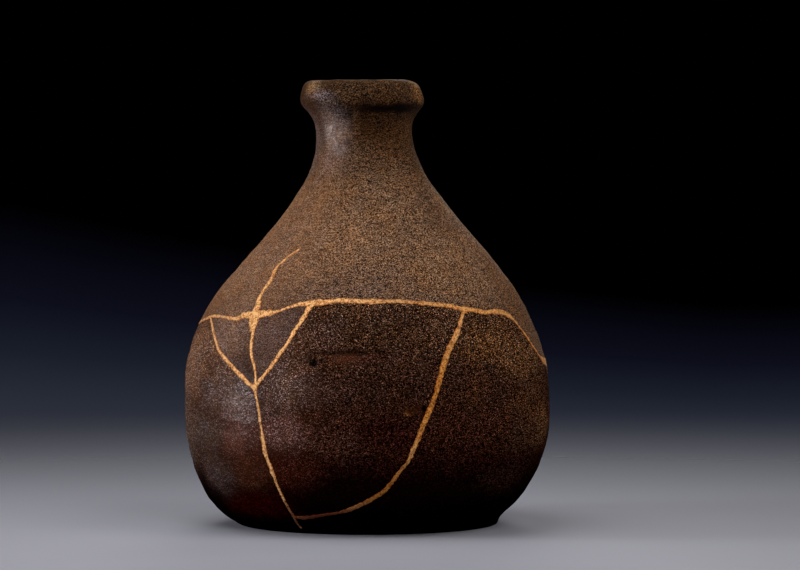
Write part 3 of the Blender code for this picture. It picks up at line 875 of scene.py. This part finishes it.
class Nodes:
    """The nodes of a material or a world, with short calls that add nodes and link them."""

    def __init__(self, owner):
        owner.use_nodes = True
        self.owner = owner
        self.tree = owner.node_tree

    def put(self, socket, value):
        """Link an output to a socket, or set the socket's own value."""
        if isinstance(value, bpy.types.NodeSocket):
            self.tree.links.new(value, socket)
        elif isinstance(value, tuple) and socket.type == "RGBA":
            socket.default_value = (*value, 1.0)
        else:
            socket.default_value = value

    def fill(self, node, inputs):
        """Fill inputs of a node."""
        for key, value in inputs.items():
            self.put(node.inputs[key], value)

    def add(self, kind, inputs, output=0, **settings):
        """Add a node, fill its inputs and give one of its outputs."""
        node = self.tree.nodes.new(kind)
        for key, value in settings.items():
            setattr(node, key, value)
        self.fill(node, inputs)
        return node.outputs[output]

    def math(self, operation, a, b):
        """Arithmetic on two values."""
        return self.add("ShaderNodeMath", {0: a, 1: b}, operation=operation)

    def mix(self, share, a, b, blend="MIX"):
        """Two colours mixed by a share."""
        inputs = {0: share, 6: a, 7: b}
        return self.add("ShaderNodeMix", inputs, 2, data_type="RGBA", blend_type=blend)

    def tint(self, colour, by):
        """A colour multiplied by another colour or by a value."""
        return self.mix(1.0, colour, by, "MULTIPLY")

    def ramp(self, value, low, high, from_value=0.0, to_value=1.0):
        """A value brought from one range to another, and held at its ends."""
        inputs = {"Value": value, 1: low, 2: high, 3: from_value, 4: to_value}
        return self.add("ShaderNodeMapRange", inputs, clamp=True)

    def place(self, stretch=(1.0, 1.0, 1.0)):
        """Position on the piece in metres, stretched along the axes."""
        position = self.add("ShaderNodeTexCoord", {}, "Object")
        return self.add("ShaderNodeMapping", {"Vector": position, "Scale": stretch})

    def noise(self, place, size, detail, roughness):
        """Smooth noise with lumps of a size in millimetres."""
        inputs = {"Vector": place, "Scale": 1 / (size * MM)}
        inputs |= {"Detail": detail, "Roughness": roughness}
        return self.add("ShaderNodeTexNoise", inputs, "Fac")

    def cells(self, place, size):
        """A random value and the distance from the middle, for grains of a size in millimetres."""
        inputs = {"Vector": place, "Scale": 1 / (size * MM)}
        colour = self.add("ShaderNodeTexVoronoi", inputs, "Color")
        value = self.add("ShaderNodeSeparateColor", {"Color": colour}, "Red")
        return value, colour.node.outputs["Distance"]

    def specks(self, place, size, share, radius):
        """Round specks in a share of the cells of a size in millimetres."""
        value, distance = self.cells(place, size)
        dot = self.ramp(distance, radius / size, 0.6 * radius / size)
        return self.math("MULTIPLY", self.math("LESS_THAN", value, share), dot)

    def attribute(self, name, output):
        """A number or colour stored on the mesh."""
        return self.add("ShaderNodeAttribute", {}, output, attribute_name=name)

    def shade(self, inputs):
        """Fill inputs of the shader and give the material."""
        self.fill(self.tree.nodes["Principled BSDF"], inputs)
        return self.owner


def stoneware_material(name, specular, contrast, mean, ranks):
    """Unglazed sandy stoneware: the tone, gloss and grit of each place come from the mesh."""
    nodes = Nodes(bpy.data.materials.new(name))
    place, wide = nodes.place(), nodes.place((1.0, 1.0, 1.45))
    tone = nodes.attribute("tone", "Color")
    gloss, grit = nodes.attribute("gloss", "Fac"), nodes.attribute("grit", "Fac")
    cloud = nodes.ramp(nodes.noise(place, 4.0, 4.0, 0.65), 0.35, 0.65, 1.2, 1.5)
    thrown = nodes.noise(nodes.place((1.0, 1.0, 7.0)), 5.0, 3.0, 0.6)
    thrown = nodes.ramp(thrown, 0.35, 0.65, 0.77, 1.23)
    warmth = nodes.ramp(nodes.noise(place, 9.0, 3.0, 0.55), 0.35, 0.65)
    grains = nodes.ramp(nodes.cells(wide, GRAIN_SIZE)[0], *ranks, -0.95, 0.5)
    sand = nodes.ramp(nodes.noise(wide, SAND_SIZE, 2.0, 0.6), 0.38, 0.62, -0.4, 0.35)
    sand = nodes.math("ADD", grains, sand)
    dark = nodes.math("MULTIPLY", nodes.specks(wide, *DARK_SPECKS), grit)
    crystals = nodes.specks(nodes.place((1.0, 1.03, 0.97)), *CRYSTALS)
    crystals = nodes.math("MULTIPLY", crystals, grit)
    speckled = nodes.math("DIVIDE", nodes.math("POWER", contrast, sand), mean)
    speckled = nodes.math("MULTIPLY", nodes.math("SUBTRACT", speckled, 1.0), grit)
    speckled = nodes.math("MAXIMUM", nodes.math("ADD", speckled, 1.0), 0.05)
    brightness = nodes.math("MULTIPLY", speckled, nodes.math("MULTIPLY", cloud, thrown))
    colour = nodes.tint(tone, brightness)
    colour = nodes.tint(colour, nodes.mix(warmth, WARM_TINT, COOL_TINT))
    by_grain = nodes.mix(nodes.ramp(sand, -0.8, 0.8), DARK_GRAIN_TINT, LIGHT_GRAIN_TINT)
    colour = nodes.tint(colour, by_grain)
    colour = nodes.mix(nodes.math("MULTIPLY", dark, 0.85), colour, SPECK_COLOUR)
    light = nodes.tint(tone, CRYSTAL_TINT)
    colour = nodes.mix(nodes.math("MULTIPLY", crystals, 0.8), colour, light)
    grain = {"Height": nodes.math("SUBTRACT", sand, dark), "Distance": 0.15 * MM}
    ripples = nodes.noise(nodes.place((1.0, 1.0, 1.5)), 1.6, 1.0, 0.5)
    ripples = {"Height": ripples, "Distance": 0.35 * MM}
    return nodes.shade({
        "Base Color": colour,
        "Roughness": nodes.ramp(gloss, 0.0, 1.0, 0.7, 0.4),
        "Normal": nodes.add("ShaderNodeBump", grain, "Normal"),
        "Specular IOR Level": specular,
        "Coat Weight": nodes.ramp(gloss, 0.3, 1.0, 0.0, 0.3),
        "Coat Roughness": 0.16,
        "Coat Normal": nodes.add("ShaderNodeBump", ripples, "Normal"),
    })


def gold_material():
    """Gold powder on lacquer: pale and dark grains, and a rusty rim where the powder is thin."""
    nodes = Nodes(bpy.data.materials.new("gold_powder"))
    place = nodes.place()
    fine = nodes.noise(place, 0.45, 3.0, 0.7)
    grains = nodes.ramp(nodes.cells(place, 0.6)[0], 0.0, 0.6, -0.2, 0.6)
    powder = nodes.math("ADD", nodes.ramp(fine, 0.38, 0.62, -0.2, 0.6), grains)
    colour = nodes.mix(nodes.ramp(powder, 0.0, 0.8), GOLD_DARK, GOLD_LIGHT)
    worn = nodes.ramp(nodes.noise(place, 1.6, 2.0, 0.5), 0.36, 0.46)
    colour = nodes.mix(worn, nodes.tint(colour, WORN_TINT), colour)
    colour = nodes.tint(colour, nodes.attribute("tone", "Color"))
    fullness = nodes.ramp(nodes.attribute("fullness", "Fac"), 0.0, 0.6)
    grain = {"Height": powder, "Strength": 0.6, "Distance": 0.25 * MM}
    return nodes.shade({
        "Base Color": nodes.mix(fullness, nodes.tint(colour, RIM_TINT), colour),
        "Roughness": nodes.ramp(fine, 0.3, 0.7, 0.5, 0.4),
        "Normal": nodes.add("ShaderNodeBump", grain, "Normal"),
        "Metallic": 0.8,
    })


# ---- Tone of the stoneware ----
# (height, base colour) of the sandy shoulder, and of the darker body below the ring
SHOULDER_TONES = (
    (98, (0.118, 0.058, 0.0275)), (110, (0.165, 0.083, 0.0395)), (150, (0.157, 0.079, 0.0365)),
    (162, (0.096, 0.045, 0.018)), (175, (0.056, 0.022, 0.0065)), (188, (0.036, 0.014, 0.0045)),
    (200, (0.046, 0.02, 0.0068)),
)
# towards the foot the body goes almost black, partly the clay's own dark colour and partly painted
# shade
BODY_TONES = (
    (0, (0.0002, 0.00005, 0.00005)), (12, (0.0012, 0.0002, 0.0002)), (25, (0.005, 0.001, 0.0009)),
    (35, (0.0185, 0.005, 0.0027)), (47, (0.036, 0.0115, 0.006)), (58, (0.033, 0.0125, 0.0066)),
    (69, (0.037, 0.0155, 0.0088)), (80, (0.047, 0.021, 0.0105)), (92, (0.055, 0.0265, 0.0135)),
    (105, (0.068, 0.033, 0.017)),
)
# patches: azimuth, height, half their width in degrees, half their height, colour, strength
TONE_PATCHES = (
    # lip and neck
    (-56, 196.5, 9, 3, (0.22, 0.122, 0.052), 0.8),
    (-45, 193, 16, 2.4, (0.14, 0.092, 0.08), 0.7),
    (-10, 195, 16, 4, (0.042, 0.02, 0.008), 0.7),
    (68, 194, 14, 6, (0.15, 0.062, 0.016), 0.9),
    # painted shade under the overhanging lip
    (30, 186.8, 50, 2.8, (0.002, 0.0001, 0.0001), 0.99),
    # melted ash on the neck, its tone raised by a painted highlight of the side light
    (-36, 175.5, 19, 13, (0.225, 0.16, 0.128), 0.85),
    (-75, 172, 16, 14, (0.11, 0.072, 0.055), 0.8),
    (0, 163, 14, 7, (0.1, 0.053, 0.027), 0.6),
    (-45, 162, 14, 7, (0.193, 0.11, 0.071), 0.6),
    (-8, 181, 4, 6, (0.105, 0.048, 0.017), 0.6),
    (-18.4, 171.3, 4.5, 1.6, (0.04, 0.023, 0.016), 0.7),
    (62, 169, 12, 14, (0.07, 0.03, 0.009), 0.7),
    # shoulder
    (-39.7, 127.5, 6, 5, (0.205, 0.109, 0.05), 0.5),
    (-57, 136.5, 3.5, 1.2, (0.07, 0.042, 0.028), 0.7),
    (35, 117, 18, 12, (0.17, 0.083, 0.036), 0.7),
    (-50, 118, 22, 26, (0.163, 0.086, 0.046), 0.7),
    (-8, 127, 15, 10, (0.182, 0.093, 0.044), 0.6),
    (-10, 108, 25, 6, (0.12, 0.064, 0.036), 0.8),
    (52, 142, 16, 15, (0.108, 0.05, 0.021), 0.8),
    (72, 108, 13, 22, (0.104, 0.041, 0.0125), 0.8),
    # just under the ring
    (-52, 88, 13, 11, (0.152, 0.087, 0.056), 0.9),
    (-31, 90, 9, 12, (0.104, 0.056, 0.038), 0.9),
    (-74, 74, 13, 17, (0.148, 0.087, 0.055), 0.8),
    (-14, 88, 7, 8, (0.066, 0.035, 0.025), 0.7),
    (43, 85, 15, 9, (0.112, 0.052, 0.019), 0.7),
    (60, 76, 14, 8, (0.11, 0.052, 0.021), 0.8),
    # grey bloom of the smooth side, with painted highlights and reflections of the side light and
    # the floor
    (-54, 61, 10, 8, (0.095, 0.066, 0.057), 0.8),
    # painted highlight of the side light on the glossy patch
    (-42, 56.5, 11, 10, (0.145, 0.096, 0.087), 0.55),
    (-51, 71, 8, 7, (0.125, 0.08, 0.062), 0.7),
    (-34, 76, 6, 8, (0.1, 0.062, 0.048), 0.6),
    # grey along the left edge: grey bloom lightened by a painted reflection of the floor
    (-80, 44, 14, 16, (0.07, 0.049, 0.038), 0.8),
    # grey bloom lightened by a softer painted reflection of the side light
    (-25, 67, 8, 10, (0.142, 0.092, 0.075), 0.7),
    (-26, 47, 8, 9, (0.14, 0.076, 0.063), 0.75),
    (-61, 44, 11, 10, (0.061, 0.044, 0.036), 0.8),
    (-43, 43, 8, 9, (0.096, 0.045, 0.034), 0.8),
    (-59, 26, 11, 9, (0.048, 0.032, 0.028), 0.8),
    # red glow
    (-40, 28, 10, 9, (0.043, 0.0155, 0.008), 0.8),
    (-24, 30, 10, 9, (0.039, 0.01, 0.0055), 0.8),
    (-42, 13, 16, 6, (0.019, 0.0006, 0.0005), 0.8),
    (-3, 78, 12, 1.7, (0.066, 0.024, 0.016), 0.6),
    # right
    (-9, 42, 10, 7, (0.064, 0.0265, 0.0165), 0.65),
    (-10, 65, 8, 6, (0.07, 0.033, 0.0225), 0.6),
    (28, 46, 9, 7, (0.024, 0.008, 0.004), 0.6),
    (28, 90, 8, 8, (0.078, 0.0375, 0.0195), 0.5),
    (8, 88, 8, 7, (0.046, 0.022, 0.011), 0.5),
    (8, 47, 11, 8, (0.0185, 0.0036, 0.0025), 0.7),
    (33, 64, 9, 9, (0.046, 0.018, 0.007), 0.5),
    (62, 57, 13, 10, (0.063, 0.027, 0.0107), 0.7),
    (58, 42, 14, 7, (0.039, 0.019, 0.0092), 0.7),
    (72, 46, 8, 9, (0.094, 0.045, 0.018), 0.7),
    (52, 24, 14, 6, (0.02, 0.0078, 0.0048), 0.7),
    (15.3, 56, 0.8, 0.9, (0.16, 0.075, 0.022), 0.9),
    # dark in the chip beside the right seam: painted shade
    (26, 85.8, 3.2, 1.6, (0.02, 0.009, 0.008), 0.7),
    # gouge, its rim, the blister below it and the shadow of the ridge beside it
    (-18.5, 73, 4.5, 3, (0.115, 0.056, 0.036), 0.6),
    (-5, 81, 12, 1.2, (0.008, 0.003, 0.002), 0.8),
)
# the same for the gold, whose colour is multiplied by these
GOLD_TONES = ((0.0, (1.0, 1.0, 1.0)),)
GOLD_TONE_PATCHES = (
    (-60, 84, 16, 14, (0.92, 0.92, 1), 1),
    (22, 58, 14, 34, (0.92, 0.7, 0.32), 1),
    (48, 99, 24, 8, (1, 0.88, 0.62), 1),
    (70, 84, 12, 14, (1, 0.82, 0.42), 1),
    (6, 20, 14, 13, (0.62, 0.44, 0.16), 1),
    (-14, 8, 24, 8, (0.2, 0.07, 0.03), 1),
)
# noises that shift the azimuths of the patches, and those that shift their heights
TONE_DRIFT = (((3.5, 9, 31), (1.5, 3.5, 32)), ((2, 8, 33), (0.8, 3, 34)))
# painted shade in the pits: how far the tone darkens in a pit, and the depth from which it is
# darkest
PIT_SHADE = 0.95
PIT_SHADE_DEPTH = 0.6
# azimuth, height, half width, half height and value of the places that differ in gloss or in grit
GLOSS = 0.2
GLOSS_PATCHES = (
    (-38, 179, 21, 10, 0.9),
    (-40, 56, 11, 13, 0.9),
    (-48, 36, 22, 16, 0.42),
    (-15, 60, 24, 20, 0.45),
)
# (azimuth, grit) round the vase
GRIT_BY_AZIMUTH = (
    (-180, 0.8), (-75, 0.65), (-35, 0.7), (-12, 1), (30, 1.2), (70, 1.3), (180, 0.8),
)
GRIT_PATCHES = (
    (*NECK_GLAZE, 0.4),
    (-48, 32, 26, 20, 0.42),
    (-6, 79, 8, 3, 0.45),
    (-25, 60, 12, 22, 0.7),
    (16, 56.5, 2, 2, 0.4),
    (0, 12, 60, 14, 0.7),
    (25, 194, 65, 8, 2),
)


def tones(places, by_height, patches):
    """Base colour at places, from the colours by height and the patches."""
    steps = [height for height, _colour in by_height]
    channels = [[colour[k] for _height, colour in by_height] for k in range(3)]
    colours = np.column_stack([np.interp(places[1], steps, channel) for channel in channels])
    for *patch, colour, strength in patches:
        share = strength * patch_share(*places, *patch)
        colours += share[:, None] * (np.array(colour) - colours)
    return colours


def patched(places, values, patches):
    """Values at places brought towards those of the patches."""
    for *patch, value in patches:
        values = values + patch_share(*places, *patch) * (value - values)
    return values


# ---- The vase ----
# edges that turn by more than this many degrees stay sharp, and the gold has none
SHERD_EDGE_ANGLE = 60.0
GOLD_EDGE_ANGLE = 180.0


def make_vase():
    """All the pieces of the vase in place of their CAD nodes."""
    surface = Surface(Unrolled())
    materials = {slot: stoneware_material(slot, *CLAYS[slot]) for slot, _place in SHERDS.values()}
    for name, (slot, place) in SHERDS.items():
        points, triangles = surface.sherd(*place)
        mesh = make_mesh(name, points, triangles, SHERD_EDGE_ANGLE)
        places = drifted(points, azimuths_of(points), TONE_DRIFT)
        by_height = SHOULDER_TONES if name == "neck_and_shoulder" else BODY_TONES
        # painted shade that darkens the tone in the pits
        shade = 1 - PIT_SHADE * np.clip(pitted(points) / PIT_SHADE_DEPTH, 0, 1)
        grit = np.interp(azimuths_of(points), *zip(*GRIT_BY_AZIMUTH))
        set_attribute(mesh, "tone", shade[:, None] * tones(places, by_height, TONE_PATCHES))
        set_attribute(mesh, "gloss", patched(places, np.full(len(points), GLOSS), GLOSS_PATCHES))
        set_attribute(mesh, "grit", patched(places, grit, GRIT_PATCHES))
        add_piece(name + "_stoneware", mesh, materials[slot], name)
    points, triangles, fullness = gold_mesh()
    mesh = make_mesh("gold_network", points, triangles, GOLD_EDGE_ANGLE)
    set_attribute(mesh, "fullness", fullness)
    places = drifted(points, azimuths_of(points), TONE_DRIFT)
    set_attribute(mesh, "tone", tones(places, GOLD_TONES, GOLD_TONE_PATCHES))
    add_piece("gold_network", mesh, gold_material(), "gold_seams")


# ---- Studio, in metres ----
FLOOR_COLOUR = (0.36, 0.368, 0.437)
FLOOR_ROUGHNESS = 0.85
FLOOR_CORNERS = ((-3.2, -1.9, 0.0), (3.2, -1.9, 0.0), (0.0, 3.4, 0.0))
# the floor fades with the distance from a place in front of the vase, from here to there, as a
# painted fall-off of the light
FLOOR_MIDDLE = (0.0, -0.35, 0.0)
FLOOR_FADE = (0.2, 1.15)
# heights of the haze as the upward part of the direction, and its colours from the lowest up
HAZE_HEIGHTS = (-0.08, 0.0)
HAZE = (
    (0, (0.04, 0.042, 0.056)),
    (0.22, (0.022, 0.026, 0.039)),
    (0.38, (0.01, 0.013, 0.022)),
    (0.55, (0.004, 0.0045, 0.01)),
    (0.86, (0, 0, 0)),
)
# how fast the haze thins with the height, from left to right
HAZE_SIDE = (-0.09, 0.09, 1.0, 1.62)
# name, place, target, size, power, colour and spread in degrees
LIGHTS = (
    ("overhead", (-0.3, -0.05, 0.95), (-0.1, -0.05, 0), (0.8, 0.8), 1.56, (1, 0.97, 0.94), 95),
    ("front", (0.5, -0.25, 0.8), (0, -0.05, 0.1), (0.5, 0.5), 0.53, (1, 0.96, 0.9), 80),
    ("side", (-0.9, -0.08, 0.25), (0, 0, 0.1), (0.25, 0.46), 1.35, (1, 0.98, 0.98), 90),
    ("face", (0.5, -1.2, 0.5), (0, 0, 0.08), (0.5, 0.5), 0.8, (1, 0.97, 0.93), 70),
    ("rim", (0.9, 0.6, 0.4), (0, 0, 0.12), (0.3, 0.5), 0.22, (1, 0.96, 0.92), 80),
    ("back", (0.1, 1.3, 0.6), (0, 0, 0.14), (0.7, 0.4), 0.4, (1, 0.98, 0.96), 50),
)
CAMERA_PLACE = (0.0, -1.75, 0.165)
CAMERA_LENS = 174.3
# how far the camera looks down and to the right, in degrees
CAMERA_DOWN = 1.876
CAMERA_RIGHT = 0.503


def area_light(name, place, target, size, power, colour, spread):
    """A soft light that faces a target."""
    light = bpy.data.lights.new(name, "AREA")
    light.shape = "RECTANGLE"
    light.size, light.size_y = size
    light.energy, light.color, light.spread = power, colour, math.radians(spread)
    lamp = link(name, light)
    lamp.location = place
    lamp.rotation_euler = (Vector(target) - Vector(place)).to_track_quat("-Z", "Y").to_euler()


def fading_floor():
    """Pale paper that fades into the dark of the room away from the vase: a painted fall-off of the
    light.
    """
    paper = Nodes(bpy.data.materials.new("floor_paper"))
    ends = {0: paper.place(), 1: FLOOR_MIDDLE}
    away = paper.add("ShaderNodeVectorMath", ends, "Value", operation="DISTANCE")
    alpha = paper.ramp(away, *FLOOR_FADE, 1.0, 0.0)
    return paper.shade({"Base Color": FLOOR_COLOUR, "Roughness": FLOOR_ROUGHNESS, "Alpha": alpha})


def hazy_room():
    """A black room with a dark blue haze low down, thicker at the left."""
    room = Nodes(bpy.data.worlds.new("room"))
    bpy.context.scene.world = room.owner
    direction = room.add("ShaderNodeTexCoord", {}, "Generated")
    parts = room.add("ShaderNodeSeparateXYZ", {"Vector": direction}).node.outputs
    height, side = room.ramp(parts["Z"], *HAZE_HEIGHTS), room.ramp(parts["X"], *HAZE_SIDE)
    height = room.math("MULTIPLY", height, side)
    haze = room.add("ShaderNodeValToRGB", {"Fac": height}, "Color")
    stops = haze.node.color_ramp.elements
    for _spare in HAZE[2:]:
        stops.new(0.5)
    for stop, (place, colour) in zip(stops, HAZE):
        stop.position, stop.color = place, (*colour, 1.0)
    room.fill(room.tree.nodes["Background"], {"Color": haze})


def make_studio():
    """Pale floor, soft lights and a dim room."""
    bpy.context.scene.view_settings.view_transform = "Standard"
    floor_mesh = bpy.data.meshes.new("floor")
    floor_mesh.from_pydata(FLOOR_CORNERS, [], [(0, 1, 2)])
    floor_mesh.materials.append(fading_floor())
    floor = link("floor", floor_mesh)
    for light in LIGHTS:
        area_light(*light)
    hazy_room()


def make_camera():
    """The camera at the photograph's viewing angle."""
    data = bpy.data.cameras.new("camera")
    data.lens = CAMERA_LENS
    camera = link("camera", data)
    camera.location = CAMERA_PLACE
    turn = (90.0 - CAMERA_DOWN, 0.0, -CAMERA_RIGHT)
    camera.rotation_euler = [math.radians(angle) for angle in turn]
    bpy.context.scene.camera = camera


make_vase()
make_studio()
make_camera()
